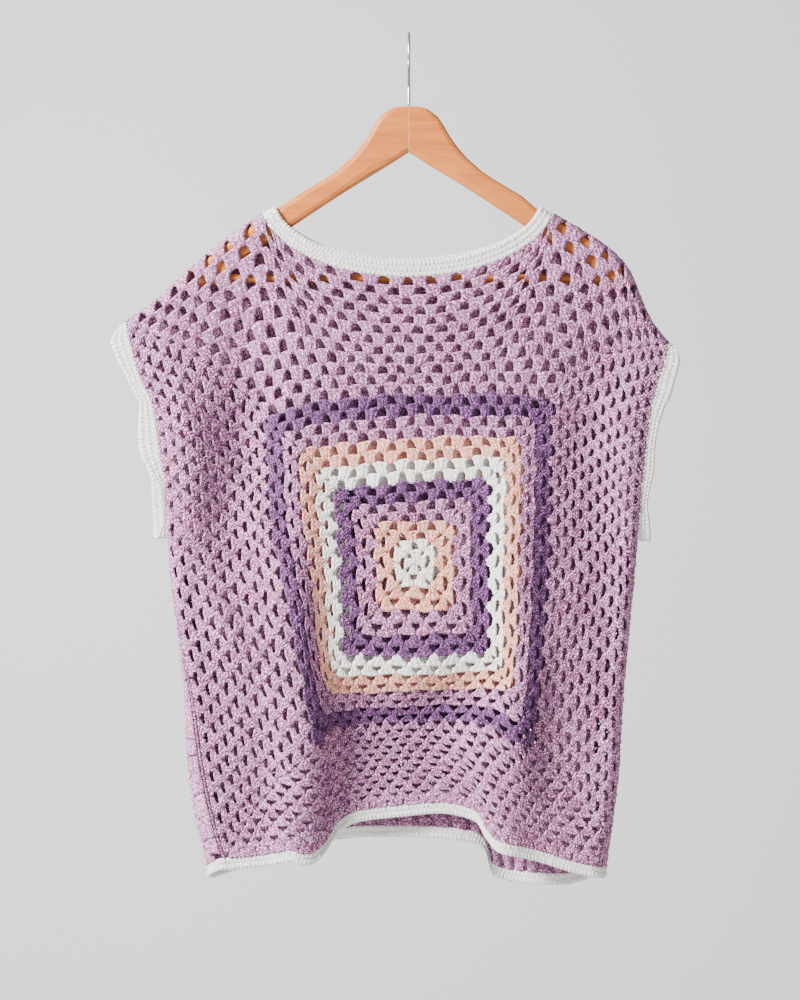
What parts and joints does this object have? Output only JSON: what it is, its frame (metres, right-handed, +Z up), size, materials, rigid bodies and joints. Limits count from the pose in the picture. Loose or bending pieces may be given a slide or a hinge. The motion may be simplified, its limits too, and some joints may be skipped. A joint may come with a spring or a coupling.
{
  "type": "crochet t-shirt on a wooden hanger",
  "caption": "Short-sleeved granny-square crochet top with edged neck, sleeves and hem, hanging from a wooden trouser hanger by its wire hook.",
  "frame": {"origin": "inside top of the hook's bend, where a rail carries it", "axes": "+Z up through the hook, +X to the right as seen from the front, +Y to the back"},
  "size_m": [0.5865, 0.0549, 0.8846],
  "materials": {
    "lilac_yarn": "heathered cotton yarn",
    "white_yarn": "cotton yarn",
    "hanger_wood": "clear varnish",
    "hook_wire": "polished"
  },
  "bodies": {
    "root": {"front_panel": "lilac_yarn", "front_neckline": "lilac_yarn", "front_shoulder_left": "lilac_yarn", "front_shoulder_right": "lilac_yarn", "front_side_left": "lilac_yarn", "front_side_right": "lilac_yarn", "back_panel": "lilac_yarn", "back_neckline": "lilac_yarn", "back_shoulder_left": "lilac_yarn", "back_shoulder_right": "lilac_yarn", "back_side_left": "lilac_yarn", "back_side_right": "lilac_yarn", "shoulder_seam_left": "lilac_yarn", "shoulder_seam_right": "lilac_yarn", "side_seam_left": "lilac_yarn", "side_seam_right": "lilac_yarn", "neck_edging": "white_yarn", "cuff_edging_left": "white_yarn", "cuff_edging_right": "white_yarn", "hem_edging": "white_yarn", "hanger_arm_left": "hanger_wood", "hanger_arm_right": "hanger_wood", "hanger_bar": "hanger_wood", "hanger_hook": "hook_wire"}
  },
  "joints": []
}
